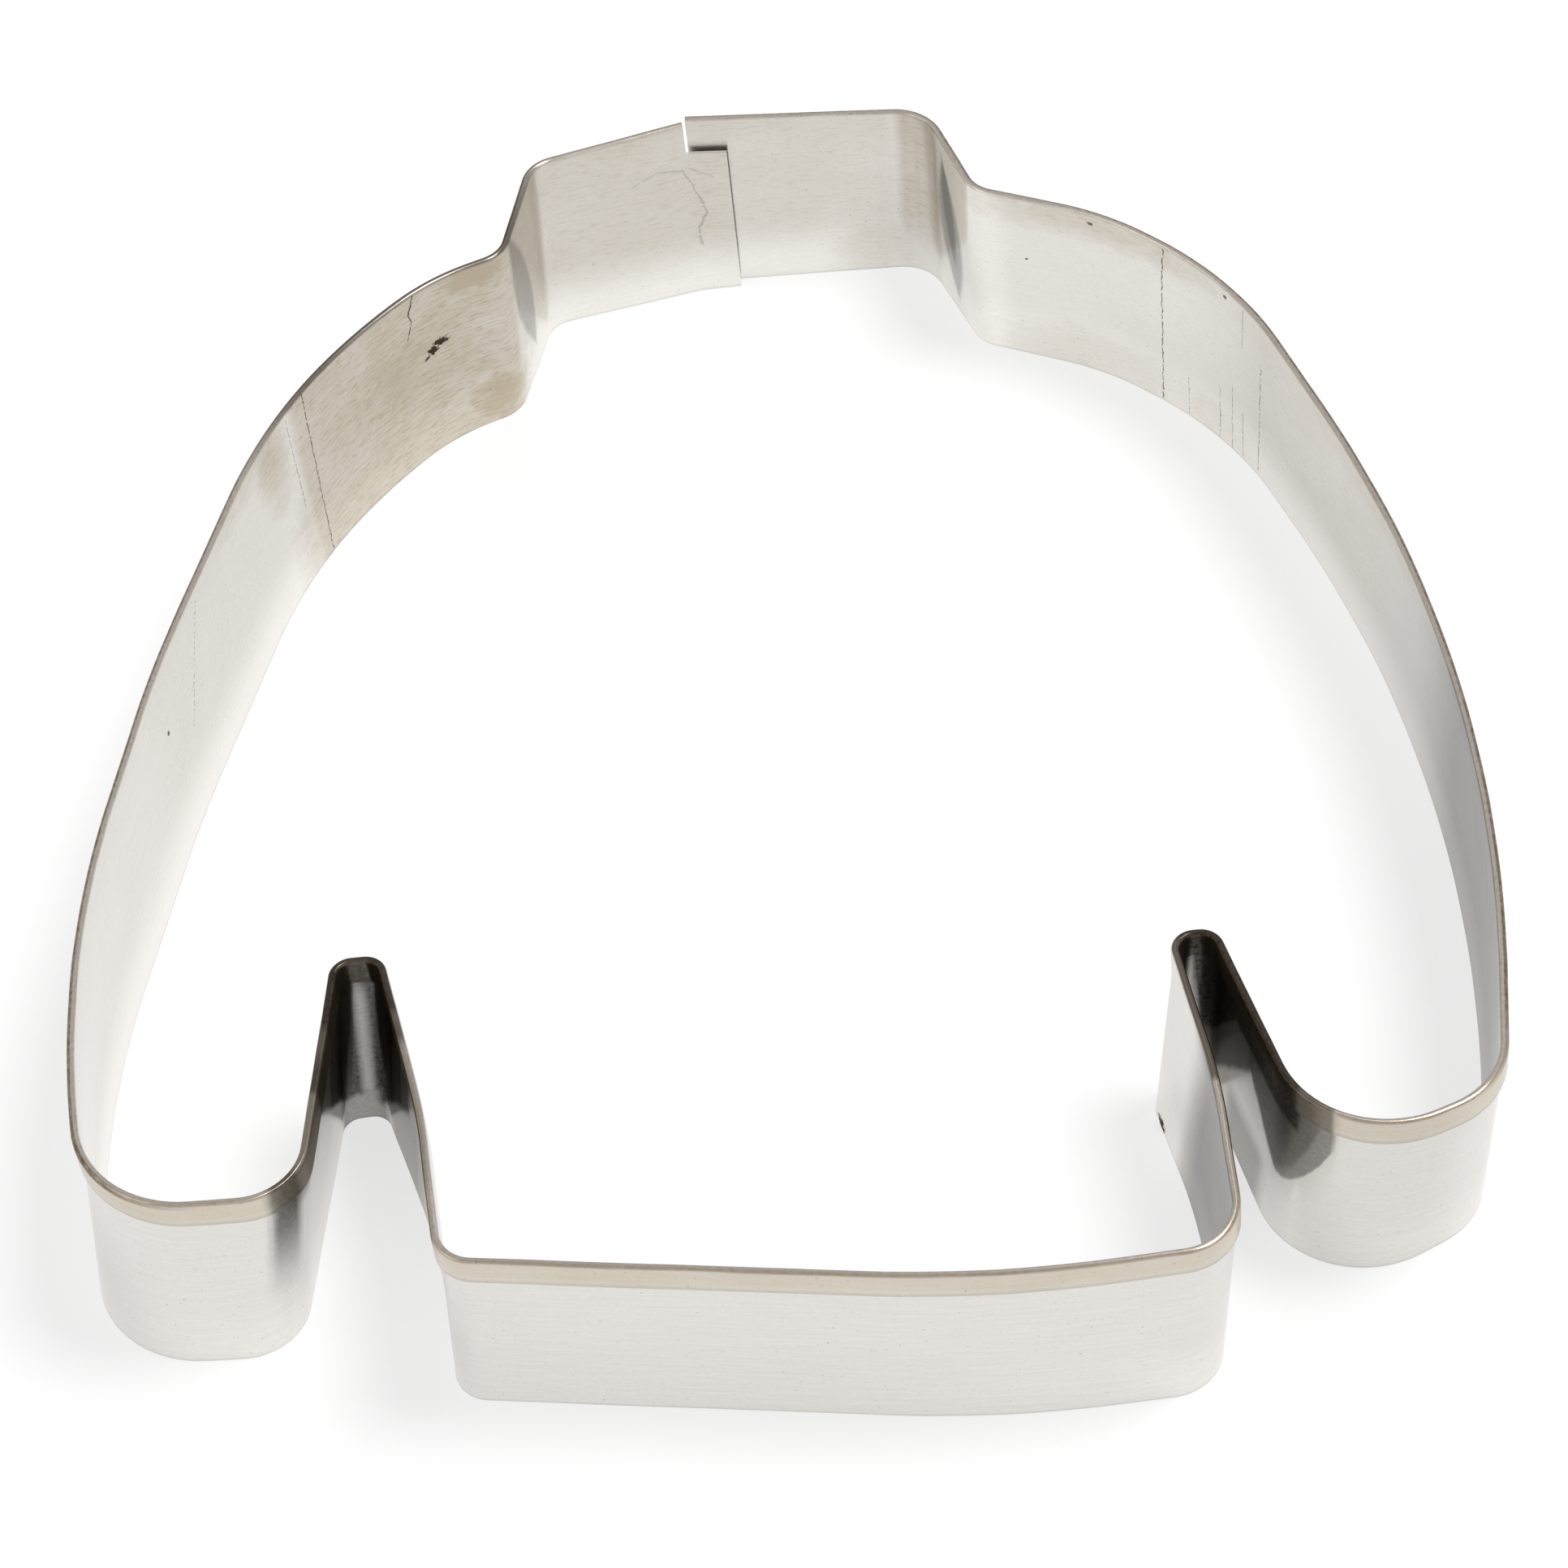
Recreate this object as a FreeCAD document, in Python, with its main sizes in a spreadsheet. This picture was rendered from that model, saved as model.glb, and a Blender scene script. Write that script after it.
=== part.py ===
import FreeCAD, Part
import math
import os
import Sketcher

# Sweater-shaped cookie cutter: one strip of thin tinned steel, bent to a closed outline.
# The lower edge is the bare cutting edge, the upper edge is hemmed to the outside,
# and the two ends of the strip are lapped and spot welded at the back of the neck.
# Millimetres, +Z up, cutting edge on Z = 0, neck towards +Y, origin under the middle.

Vector = FreeCAD.Vector

# The strip and its lapped seam.
strip_sizes = {
    "stripHeight": 20.0,
    "sheetThickness": 0.3,
    "hemDepth": 2.6,
    "hemGap": 0.1,
    "notchDepth": 3.6,
    "weldDiameter": 1.8,
    "weldAcross": -5.2,
    "weldLowHeight": 6.4,
    "weldHighHeight": 12.2,
}

# The bends, clockwise from the strip's outer end: where the two straight runs beside each
# bend would meet on the cookie side, the bend's radius there, and how far the hand-bent
# wall has moved at the cutting edge. The first and the last are the ends of the strip.
bends = {
    "seamOuter": (-7.0, 65.9, None, 0.0, -0.8),
    "neckRight": (15.2, 64.7, 4.3, -0.4, 0.5),
    "collarRight": (19.2, 53.7, 4.0, 0.1, 0.4),
    "yokeRight": (30.7, 49.0, 27.0, 0.1, 0.2),
    "shoulderRight": (41.7, 39.8, 36.0, 0.1, -0.1),
    "sleeveRight": (59.9, -8.2, 140.0, 0.9, -0.1),
    "cuffOuterRight": (55.7, -51.3, 7.0, -1.0, 1.1),
    "cuffInnerRight": (41.8, -57.1, 8.5, -1.6, -0.8),
    "notchOuterRight": (35.0, -34.3, 1.9, -0.9, -0.9),
    "notchInnerRight": (30.9, -34.4, 1.9, -1.8, -1.1),
    "sideRight": (33.6, -49.5, 62.2, -1.3, 0.6),
    "hemRight": (34.4, -64.6, 4.4, -1.0, -0.1),
    "hemMiddle": (15.7, -66.4, 94.0, 0.1, 0.2),
    "hemLeft": (-26.4, -61.6, 2.8, -1.0, 0.3),
    "sideLeft": (-28.2, -47.4, 61.0, -1.0, 0.2),
    "notchInnerLeft": (-32.0, -31.6, 1.9, -2.2, -0.9),
    "notchOuterLeft": (-36.2, -31.8, 1.9, -1.9, -1.1),
    "cuffInnerLeft": (-38.2, -54.8, 4.9, -2.5, -1.4),
    "cuffOuterLeft": (-54.5, -55.0, 9.1, -2.3, -1.1),
    "sleeveLeft": (-58.1, -29.7, 100.0, -0.2, -0.1),
    "elbowLeft": (-52.4, 1.4, 136.0, 0.5, 0.1),
    "shoulderLeft": (-43.3, 33.6, 51.0, 0.4, -0.4),
    "yokeLeft": (-30.4, 46.6, 20.0, -0.3, -0.1),
    "collarLeft": (-23.6, 49.4, 3.5, -0.8, -0.3),
    "neckLeft": (-21.2, 61.1, 2.9, -0.4, -0.6),
    "lapInner": (-7.1, 65.2, 2.0, 0.0, -1.3),
    "seamInner": (-3.4, 65.0, None, 0.0, -0.9),
}

doc = FreeCAD.newDocument("sweater_cutter")


def fill_sheet():
    sheet = doc.addObject("Spreadsheet::Sheet", "dims")
    cells = dict(strip_sizes)
    for name, (across, along, radius, lean_across, lean_along) in bends.items():
        cells[name + "Across"] = across
        cells[name + "Along"] = along
        if radius:
            cells[name + "Radius"] = radius
        cells[name + "LeanAcross"] = lean_across
        cells[name + "LeanAlong"] = lean_along
    for row, (alias, value) in enumerate(cells.items(), start=1):
        sheet.set("A%d" % row, alias)
        sheet.set("B%d" % row, str(value))
        sheet.setAlias("B%d" % row, alias)
    doc.recompute()
    return sheet


def corner(name, lean):
    across, along, radius, lean_across, lean_along = bends[name]
    return Vector(across + lean * lean_across, along + lean * lean_along, 0)


def corner_expressions(name, lean):
    # The corner's two coordinates, as expressions on the sheet.
    across = "dims.%sAcross + %g * dims.%sLeanAcross" % (name, lean, name)
    along = "dims.%sAlong + %g * dims.%sLeanAlong" % (name, lean, name)
    return across, along


def bend_arc(before, here, after, radius):
    # The arc that rounds a corner, with its two ends and its sense.
    back = (before - here).normalize()
    ahead = (after - here).normalize()
    half_turn = math.acos(-back.dot(ahead)) / 2
    setback = radius * math.tan(half_turn)
    start = here + back * setback
    end = here + ahead * setback
    centre = here + (back + ahead).normalize() * (radius / math.cos(half_turn))
    turns_left = back.cross(ahead).z < 0
    angles = [math.atan2(point.y - centre.y, point.x - centre.x) for point in (start, end)]
    if not turns_left:
        angles.reverse()
    arc = Part.ArcOfCircle(Part.Circle(centre, Vector(0, 0, 1), radius), *angles)
    return start, arc, end, turns_left


def outline_sketch(sketch_name, lean):
    # The strip's cookie-side line: straight runs joined by tangent bends.
    sketch = doc.addObject("Sketcher::SketchObject", sketch_name)
    names = list(bends)
    corners = [corner(name, lean) for name in names]
    geometry = []
    senses = []
    run_start = corners[0]
    for number in range(1, len(names) - 1):
        radius = bends[names[number]][2]
        start, arc, end, turns_left = bend_arc(*corners[number - 1:number + 2], radius)
        geometry += [Part.LineSegment(run_start, start), arc]
        senses.append(turns_left)
        run_start = end
    geometry.append(Part.LineSegment(run_start, corners[-1]))
    last_run = len(geometry) - 1
    sketch.addGeometry(geometry, False)
    marks = sketch.addGeometry([Part.Point(point) for point in corners[1:-1]], True)

    shape_rules = []
    for number, turns_left in enumerate(senses):
        run, arc, next_run = 2 * number, 2 * number + 1, 2 * number + 2
        arc_start, arc_end = (1, 2) if turns_left else (2, 1)
        shape_rules += [
            Sketcher.Constraint("Tangent", run, 2, arc, arc_start),
            Sketcher.Constraint("Tangent", arc, arc_end, next_run, 1),
            Sketcher.Constraint("PointOnObject", marks[number], 1, run),
            Sketcher.Constraint("PointOnObject", marks[number], 1, next_run),
        ]
    sketch.addConstraint(shape_rules)

    places = [(0, 1)] + [(mark, 1) for mark in marks] + [(last_run, 2)]
    sizes = []
    for number, (name, point, place) in enumerate(zip(names, corners, places)):
        across, along = corner_expressions(name, lean)
        sizes.append((name + "Across", across, ("DistanceX", -1, 1, *place, point.x)))
        sizes.append((name + "Along", along, ("DistanceY", -1, 1, *place, point.y)))
        if bends[name][2]:
            radius_rule = ("Radius", 2 * number - 1, bends[name][2])
            sizes.append((name + "Radius", "dims.%sRadius" % name, radius_rule))
    drive(sketch, sizes)
    return sketch


def drive(sketch, sizes):
    # Adds named constraints and ties each one to the sheet.
    rules = []
    for name, expression, values in sizes:
        rule = Sketcher.Constraint(*values)
        rule.Name = name
        rules.append(rule)
    sketch.addConstraint(rules)
    for name, expression, values in sizes:
        sketch.setExpression("Constraints." + name, expression)


def sheet_ring(name, outline):
    # The sheet's thickness on plan, from the cookie side outwards.
    ring = doc.addObject("Part::Offset2D", name)
    ring.Source = outline
    ring.Mode = "Skin"
    ring.Join = "Arc"
    ring.Fill = True
    ring.setExpression("Value", "-dims.sheetThickness")
    return ring


def wall_loft(foot_ring, shoulder_ring):
    wall = doc.addObject("Part::Loft", "wall")
    wall.Sections = [foot_ring, shoulder_ring]
    wall.Solid = True
    wall.Ruled = True
    return wall


def hem_section(sheet, path):
    # The sheet's section from the notch up: straight wall, turn at the rim, turned-down leg.
    # Sketch X is outwards and sketch Y is up, with the origin on the cookie side.
    thickness = sheet.sheetThickness
    rise = sheet.notchDepth
    leg_in = thickness + sheet.hemGap
    leg_out = leg_in + thickness
    fold_radius = leg_out / 2
    fold_middle = Vector(fold_radius, rise - fold_radius, 0)
    gap_top = rise - thickness
    hem_edge = rise - sheet.hemDepth
    points = {
        "wallInLow": Vector(0, 0, 0),
        "wallInHigh": Vector(0, fold_middle.y, 0),
        "legOutHigh": Vector(leg_out, fold_middle.y, 0),
        "legOutLow": Vector(leg_out, hem_edge, 0),
        "legInLow": Vector(leg_in, hem_edge, 0),
        "legInHigh": Vector(leg_in, gap_top, 0),
        "wallOutHigh": Vector(thickness, gap_top, 0),
        "wallOutLow": Vector(thickness, 0, 0),
    }
    upright = Vector(0, 0, 1)
    sketch = doc.addObject("Sketcher::SketchObject", "hemSection")
    wall_in, fold, leg_outer, hem_end, leg_inner, crease, wall_out, wall_base = (
        sketch.addGeometry([
            Part.LineSegment(points["wallInLow"], points["wallInHigh"]),
            Part.ArcOfCircle(Part.Circle(fold_middle, upright, fold_radius), 0, math.pi),
            Part.LineSegment(points["legOutHigh"], points["legOutLow"]),
            Part.LineSegment(points["legOutLow"], points["legInLow"]),
            Part.LineSegment(points["legInLow"], points["legInHigh"]),
            Part.LineSegment(points["legInHigh"], points["wallOutHigh"]),
            Part.LineSegment(points["wallOutHigh"], points["wallOutLow"]),
            Part.LineSegment(points["wallOutLow"], points["wallInLow"]),
        ], False))
    sketch.addConstraint([
        Sketcher.Constraint("Coincident", wall_in, 1, -1, 1),
        Sketcher.Constraint("Vertical", wall_in),
        Sketcher.Constraint("Tangent", wall_in, 2, fold, 2),
        Sketcher.Constraint("Tangent", fold, 1, leg_outer, 1),
        Sketcher.Constraint("Vertical", leg_outer),
        Sketcher.Constraint("Coincident", leg_outer, 2, hem_end, 1),
        Sketcher.Constraint("Horizontal", hem_end),
        Sketcher.Constraint("Coincident", hem_end, 2, leg_inner, 1),
        Sketcher.Constraint("Vertical", leg_inner),
        Sketcher.Constraint("Coincident", leg_inner, 2, crease, 1),
        Sketcher.Constraint("Horizontal", crease),
        Sketcher.Constraint("Coincident", crease, 2, wall_out, 1),
        Sketcher.Constraint("Vertical", wall_out),
        Sketcher.Constraint("Coincident", wall_out, 2, wall_base, 1),
        Sketcher.Constraint("Coincident", wall_base, 2, wall_in, 1),
        Sketcher.Constraint("Horizontal", wall_base),
    ])
    drive(sketch, [
        ("wallThickness", "dims.sheetThickness",
         ("DistanceX", -1, 1, wall_out, 2, thickness)),
        ("legReach", "dims.sheetThickness + dims.hemGap",
         ("DistanceX", -1, 1, leg_inner, 1, leg_in)),
        ("foldRadius", "dims.sheetThickness + dims.hemGap / 2",
         ("Radius", fold, fold_radius)),
        ("foldHeight", "dims.notchDepth - dims.sheetThickness - dims.hemGap / 2",
         ("DistanceY", -1, 1, fold, 3, fold_middle.y)),
        ("gapHeight", "dims.notchDepth - dims.sheetThickness",
         ("DistanceY", -1, 1, crease, 1, gap_top)),
        ("hemHeight", "dims.notchDepth - dims.hemDepth",
         ("DistanceY", -1, 1, leg_outer, 2, hem_edge)),
    ])
    # Square to the line at the strip's outer end, turned round so that its X is outwards.
    half_turn_degrees = 180
    sketch.AttachmentSupport = [(path, "Edge1")]
    sketch.MapMode = "NormalToEdge"
    sketch.MapPathParameter = 0.0
    sketch.AttachmentOffset.Rotation = FreeCAD.Rotation(Vector(0, 1, 0), half_turn_degrees)
    return sketch


def hem_sweep(section, path):
    # The hem stops short of the lap: the last bend and the tongue have none.
    bare_edges = ("lapInner", "seamInner")
    runs_with_hem = len(path.Shape.Edges) - len(bare_edges)
    hem = doc.addObject("Part::Sweep", "hem")
    hem.Sections = [section]
    hem.Spine = (path, ["Edge%d" % (number + 1) for number in range(runs_with_hem)])
    hem.Solid = True
    hem.Frenet = False
    return hem


def weld_spot(name, height):
    # A nugget from the middle of one lapped sheet to the middle of the other.
    lean = "(1 - dims.%s / (dims.stripHeight - dims.notchDepth))" % height
    tongue = face_line("lapInner", "seamInner", lean)
    outer_end = face_line("seamOuter", "neckRight", lean)
    spot = doc.addObject("Part::Cylinder", name)
    spot.Placement.Rotation = FreeCAD.Rotation(Vector(0, 0, 1), Vector(0, 1, 0))
    spot.setExpression("Radius", "dims.weldDiameter / 2")
    spot.setExpression("Height", "(%s) - (%s)" % (outer_end, tongue))
    spot.setExpression("Placement.Base.x", "dims.weldAcross")
    spot.setExpression("Placement.Base.y", "(%s) + dims.sheetThickness / 2" % tongue)
    spot.setExpression("Placement.Base.z", "dims.%s" % height)
    return spot


def face_line(first, second, lean):
    # Expression for how far along Y the cookie-side face lies at the welds.
    first_along = "(dims.%sAlong + %s * dims.%sLeanAlong)" % (first, lean, first)
    second_along = "(dims.%sAlong + %s * dims.%sLeanAlong)" % (second, lean, second)
    share = "(dims.weldAcross - dims.%sAcross) / (dims.%sAcross - dims.%sAcross)" % (
        first, second, first)
    return "%s + (%s - %s) * %s" % (first_along, second_along, first_along, share)


def check_document():
    for item in doc.Objects:
        if "Invalid" in item.State or "Error" in item.State:
            raise RuntimeError("%s failed: %s" % (item.Name, item.State))


def check_shape(item, solids):
    shape = item.Shape
    if shape.isNull() or not shape.isValid() or len(shape.Solids) != solids:
        raise RuntimeError("%s has no good shape" % item.Label)


sheet = fill_sheet()

foot_outline = outline_sketch("footOutline", 1)
shoulder_outline = outline_sketch("shoulderOutline", 0)
shoulder_outline.setExpression("Placement.Base.z", "dims.stripHeight - dims.notchDepth")
doc.recompute()

wall = wall_loft(sheet_ring("footRing", foot_outline), sheet_ring("shoulderRing", shoulder_outline))
hem = hem_sweep(hem_section(sheet, shoulder_outline), shoulder_outline)
weld_low = weld_spot("weldLow", "weldLowHeight")
weld_high = weld_spot("weldHigh", "weldHighHeight")
doc.recompute()

band = doc.addObject("Part::MultiFuse", "band")
band.Label = "cutter_band"
band.Shapes = [wall, hem, weld_low, weld_high]
band.Refine = True
doc.recompute()

check_document()
for piece in (wall, hem, weld_low, weld_high, band):
    check_shape(piece, 1)

os.makedirs("parts", exist_ok=True)
band.Shape.exportStep("parts/%s.step" % band.Label)
print("%s: %.1f mm3" % (band.Label, band.Shape.Volume))
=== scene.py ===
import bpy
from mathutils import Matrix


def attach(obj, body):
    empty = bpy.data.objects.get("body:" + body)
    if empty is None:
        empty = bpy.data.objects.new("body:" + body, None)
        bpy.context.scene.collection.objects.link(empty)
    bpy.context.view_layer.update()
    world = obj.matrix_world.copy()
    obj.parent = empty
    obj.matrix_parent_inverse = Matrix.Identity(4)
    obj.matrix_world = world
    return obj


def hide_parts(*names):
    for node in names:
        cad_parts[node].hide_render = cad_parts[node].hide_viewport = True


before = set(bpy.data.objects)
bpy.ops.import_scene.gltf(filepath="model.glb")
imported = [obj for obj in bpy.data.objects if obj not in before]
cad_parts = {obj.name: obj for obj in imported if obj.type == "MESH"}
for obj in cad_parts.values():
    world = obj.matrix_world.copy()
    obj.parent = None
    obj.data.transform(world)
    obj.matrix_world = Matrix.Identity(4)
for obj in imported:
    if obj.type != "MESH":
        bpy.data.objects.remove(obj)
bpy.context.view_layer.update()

import math
import bmesh
import bpy
from mathutils import Matrix, Vector

# A bent-strip sweater cutter on a pale table, metres, cutting edge on z = 0, neck towards +y.

mm = 0.001


class Wire:
    # wraps one output socket, so that shader maths reads as plain expressions
    def __init__(self, tree, socket):
        self.tree = tree
        self.socket = socket

    def math(self, operation, *others):
        node = self.tree.nodes.new("ShaderNodeMath")
        node.operation = operation
        for slot, value in enumerate((self, *others)):
            plug(self.tree, node.inputs[slot], value)
        return Wire(self.tree, node.outputs[0])

    def __add__(self, other): return self.math("ADD", other)
    def __radd__(self, other): return self.math("ADD", other)
    def __sub__(self, other): return self.math("SUBTRACT", other)
    def __mul__(self, other): return self.math("MULTIPLY", other)
    def __rmul__(self, other): return self.math("MULTIPLY", other)
    def __pow__(self, other): return self.math("POWER", other)
    def __abs__(self): return self.math("ABSOLUTE")
    def __neg__(self): return self.math("MULTIPLY", -1.0)
    def __rsub__(self, other): return (-self).math("ADD", other)
    def lowest(self, other): return self.math("MINIMUM", other)
    def highest(self, other): return self.math("MAXIMUM", other)


def plug(tree, socket, value):
    if isinstance(value, Wire):
        tree.links.new(value.socket, socket)
    elif value is not None:
        socket.default_value = value


class Paint:
    # one material's node tree; node() adds any node from its type, settings and sockets
    def __init__(self, name):
        self.material = bpy.data.materials.new(name)
        self.material.use_nodes = True
        self.tree = self.material.node_tree
        self.tree.nodes.clear()

    def node(self, kind, settings=None, sockets=None, out=0):
        node = self.tree.nodes.new(kind)
        for key, value in (settings or {}).items():
            setattr(node, key, value)
        for key, value in (sockets or {}).items():
            plug(self.tree, node.inputs[key], value)
        return Wire(self.tree, node.outputs[out])

    def mixColour(self, factor, first, second, blend="MIX"):
        node = self.tree.nodes.new("ShaderNodeMix")
        node.data_type = "RGBA"
        node.blend_type = blend
        plug(self.tree, node.inputs[0], factor)
        plug(self.tree, node.inputs[6], first)
        plug(self.tree, node.inputs[7], second)
        return Wire(self.tree, node.outputs[2])

    def vector(self, operation, first, second=None, scale=None, out=0):
        return self.node("ShaderNodeVectorMath", {"operation": operation},
                         {0: first, 1: second, 3: scale}, out)

    def step(self, value, low, high, top=1.0):
        # 0 below low, top above high, smooth between
        return self.node("ShaderNodeMapRange", {"interpolation_type": "SMOOTHSTEP"},
                         {0: value, 1: low, 2: high, 3: 0.0, 4: top})

    def finish(self, shader):
        output = self.tree.nodes.new("ShaderNodeOutputMaterial")
        self.tree.links.new(shader.socket, output.inputs["Surface"])
        return self.material


strip = {
    "height": 20.0, "thickness": 0.3, "hemDepth": 2.6, "hemGap": 0.1, "notchDepth": 3.6,
    "spacing": 0.35,      # between the sweep's rings on a straight run
    "arcDegrees": 6.0,    # between rings in a bend
    "foldSteps": 8,
    "wallSteps": 12,
    "tongueSteps": 10,
    "wave": 0.07,         # how far hand bending has pushed the wall about
    "waveLength": 9.0,
    "seed": 4.0,
}

# across, along, radius, lean across, lean along, at each bend, in millimetres
bends = {
    "seamOuter": (-7.0, 65.9, 0.0, 0.0, -0.8),
    "neckRight": (15.2, 64.7, 4.3, -0.4, 0.5),
    "collarRight": (19.2, 53.7, 4.0, 0.1, 0.4),
    "yokeRight": (30.7, 49.0, 27.0, 0.1, 0.2),
    "shoulderRight": (41.7, 39.8, 36.0, 0.1, -0.1),
    "sleeveRight": (59.9, -8.2, 140.0, 0.9, -0.1),
    "cuffOuterRight": (55.7, -51.3, 7.0, -1.0, 1.1),
    "cuffInnerRight": (41.8, -57.1, 8.5, -1.6, -0.8),
    "notchOuterRight": (35.0, -34.3, 1.9, -0.9, -0.9),
    "notchInnerRight": (30.9, -34.4, 1.9, -1.8, -1.1),
    "sideRight": (33.6, -49.5, 62.2, -1.3, 0.6),
    "hemRight": (34.4, -64.6, 4.4, -1.0, -0.1),
    "hemMiddle": (15.7, -66.4, 94.0, 0.1, 0.2),
    "hemLeft": (-26.4, -61.6, 2.8, -1.0, 0.3),
    "sideLeft": (-28.2, -47.4, 61.0, -1.0, 0.2),
    "notchInnerLeft": (-32.0, -31.6, 1.9, -2.2, -0.9),
    "notchOuterLeft": (-36.2, -31.8, 1.9, -1.9, -1.1),
    "cuffInnerLeft": (-38.2, -54.8, 4.9, -2.5, -1.4),
    "cuffOuterLeft": (-54.5, -55.0, 9.1, -2.3, -1.1),
    "sleeveLeft": (-58.1, -29.7, 100.0, -0.2, -0.1),
    "elbowLeft": (-52.4, 1.4, 136.0, 0.5, 0.1),
    "shoulderLeft": (-43.3, 33.6, 51.0, 0.4, -0.4),
    "yokeLeft": (-30.4, 46.6, 20.0, -0.3, -0.1),
    "collarLeft": (-23.6, 49.4, 3.5, -0.8, -0.3),
    "neckLeft": (-21.2, 61.1, 2.9, -0.4, -0.6),
    "lapInner": (-7.1, 65.2, 2.0, 0.0, -1.3),
    "seamInner": (-3.4, 65.0, 0.0, 0.0, -0.9),
}


def bentLine(level, counts=None):
    # rings along the cookie-side line, at the rim (level 0) or at the foot (level 1), with
    # the steps of each run and bend and the ring where the hem ends
    names = list(bends)
    corners = [Vector((across + level * leanAcross, along + level * leanAlong))
               for across, along, radius, leanAcross, leanAlong in bends.values()]
    rings = [corners[0]]
    steps = []
    hemEnd = 0
    for number in range(1, len(corners) - 1):
        here, radius = corners[number], bends[names[number]][2]
        back = (corners[number - 1] - here).normalized()
        ahead = (corners[number + 1] - here).normalized()
        half = math.acos(max(-1.0, min(1.0, -back.dot(ahead)))) / 2
        start = here + back * radius * math.tan(half)
        centre = here + (back + ahead).normalized() * radius / math.cos(half)
        last = rings[-1]
        run = max(round((start - last).length / strip["spacing"]), 1)
        turns = max(round(math.degrees(2 * half) / strip["arcDegrees"]),
                    round(2 * half * radius / strip["spacing"] / 2), 2)
        if counts:
            run, turns = counts[number - 1]
        steps.append((run, turns))
        rings += [last.lerp(start, step / run) for step in range(1, run + 1)]
        hemEnd = len(rings) - 1
        sweep = 2 * half if back.cross(ahead) < 0 else -2 * half
        arm = start - centre
        for turn in range(1, turns + 1):
            angle = sweep * turn / turns
            spot = Vector((arm.x * math.cos(angle) - arm.y * math.sin(angle),
                           arm.x * math.sin(angle) + arm.y * math.cos(angle)))
            rings.append(centre + spot)
    last = rings[-1]
    tongue = strip["tongueSteps"]
    rings += [last.lerp(corners[-1], step / tongue) for step in range(1, tongue + 1)]
    return rings, steps, hemEnd + 1


def chainMesh(name, places, values=None, closed=False):
    # points joined one after the other, with an optional named value at each point
    mesh = bpy.data.meshes.new(name)
    edges = [(number, number + 1) for number in range(len(places) - 1)]
    if closed:
        edges.append((len(places) - 1, 0))
    mesh.from_pydata(places, edges, [])
    for key, (kind, data) in (values or {}).items():
        attribute = mesh.attributes.new(key, kind, "POINT")
        field = "vector" if kind == "FLOAT_VECTOR" else "value"
        for number, value in enumerate(data):
            setattr(attribute.data[number], field, value)
    piece = bpy.data.objects.new(name, mesh)
    bpy.context.scene.collection.objects.link(piece)
    return piece


def sectionPoints(hemmed):
    # the sheet's section: x outwards from the cookie side, y up
    thick, gap = strip["thickness"] * mm, strip["hemGap"] * mm
    top = strip["height"] * mm
    notch = (strip["height"] - strip["notchDepth"]) * mm
    levels = strip["wallSteps"]
    inside = [(0.0, notch * step / levels) for step in range(levels + 1)]
    outside = [(thick, notch * step / levels) for step in range(levels, -1, -1)]
    if not hemmed:
        return inside + outside
    radius = thick + gap / 2
    fold = []
    for step in range(strip["foldSteps"] + 1):
        angle = math.pi * (1 - step / strip["foldSteps"])
        fold.append((radius + radius * math.cos(angle), top - radius + radius * math.sin(angle)))
    hemEdge = top - strip["hemDepth"] * mm
    middle = (hemEdge + top - radius) / 2
    leg = [(2 * radius, middle), (2 * radius, hemEdge), (thick + gap, hemEdge),
           (thick + gap, top - thick), (thick, top - thick)]
    return inside + [(0.0, (notch + top - radius) / 2)] + fold + leg + outside


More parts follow.
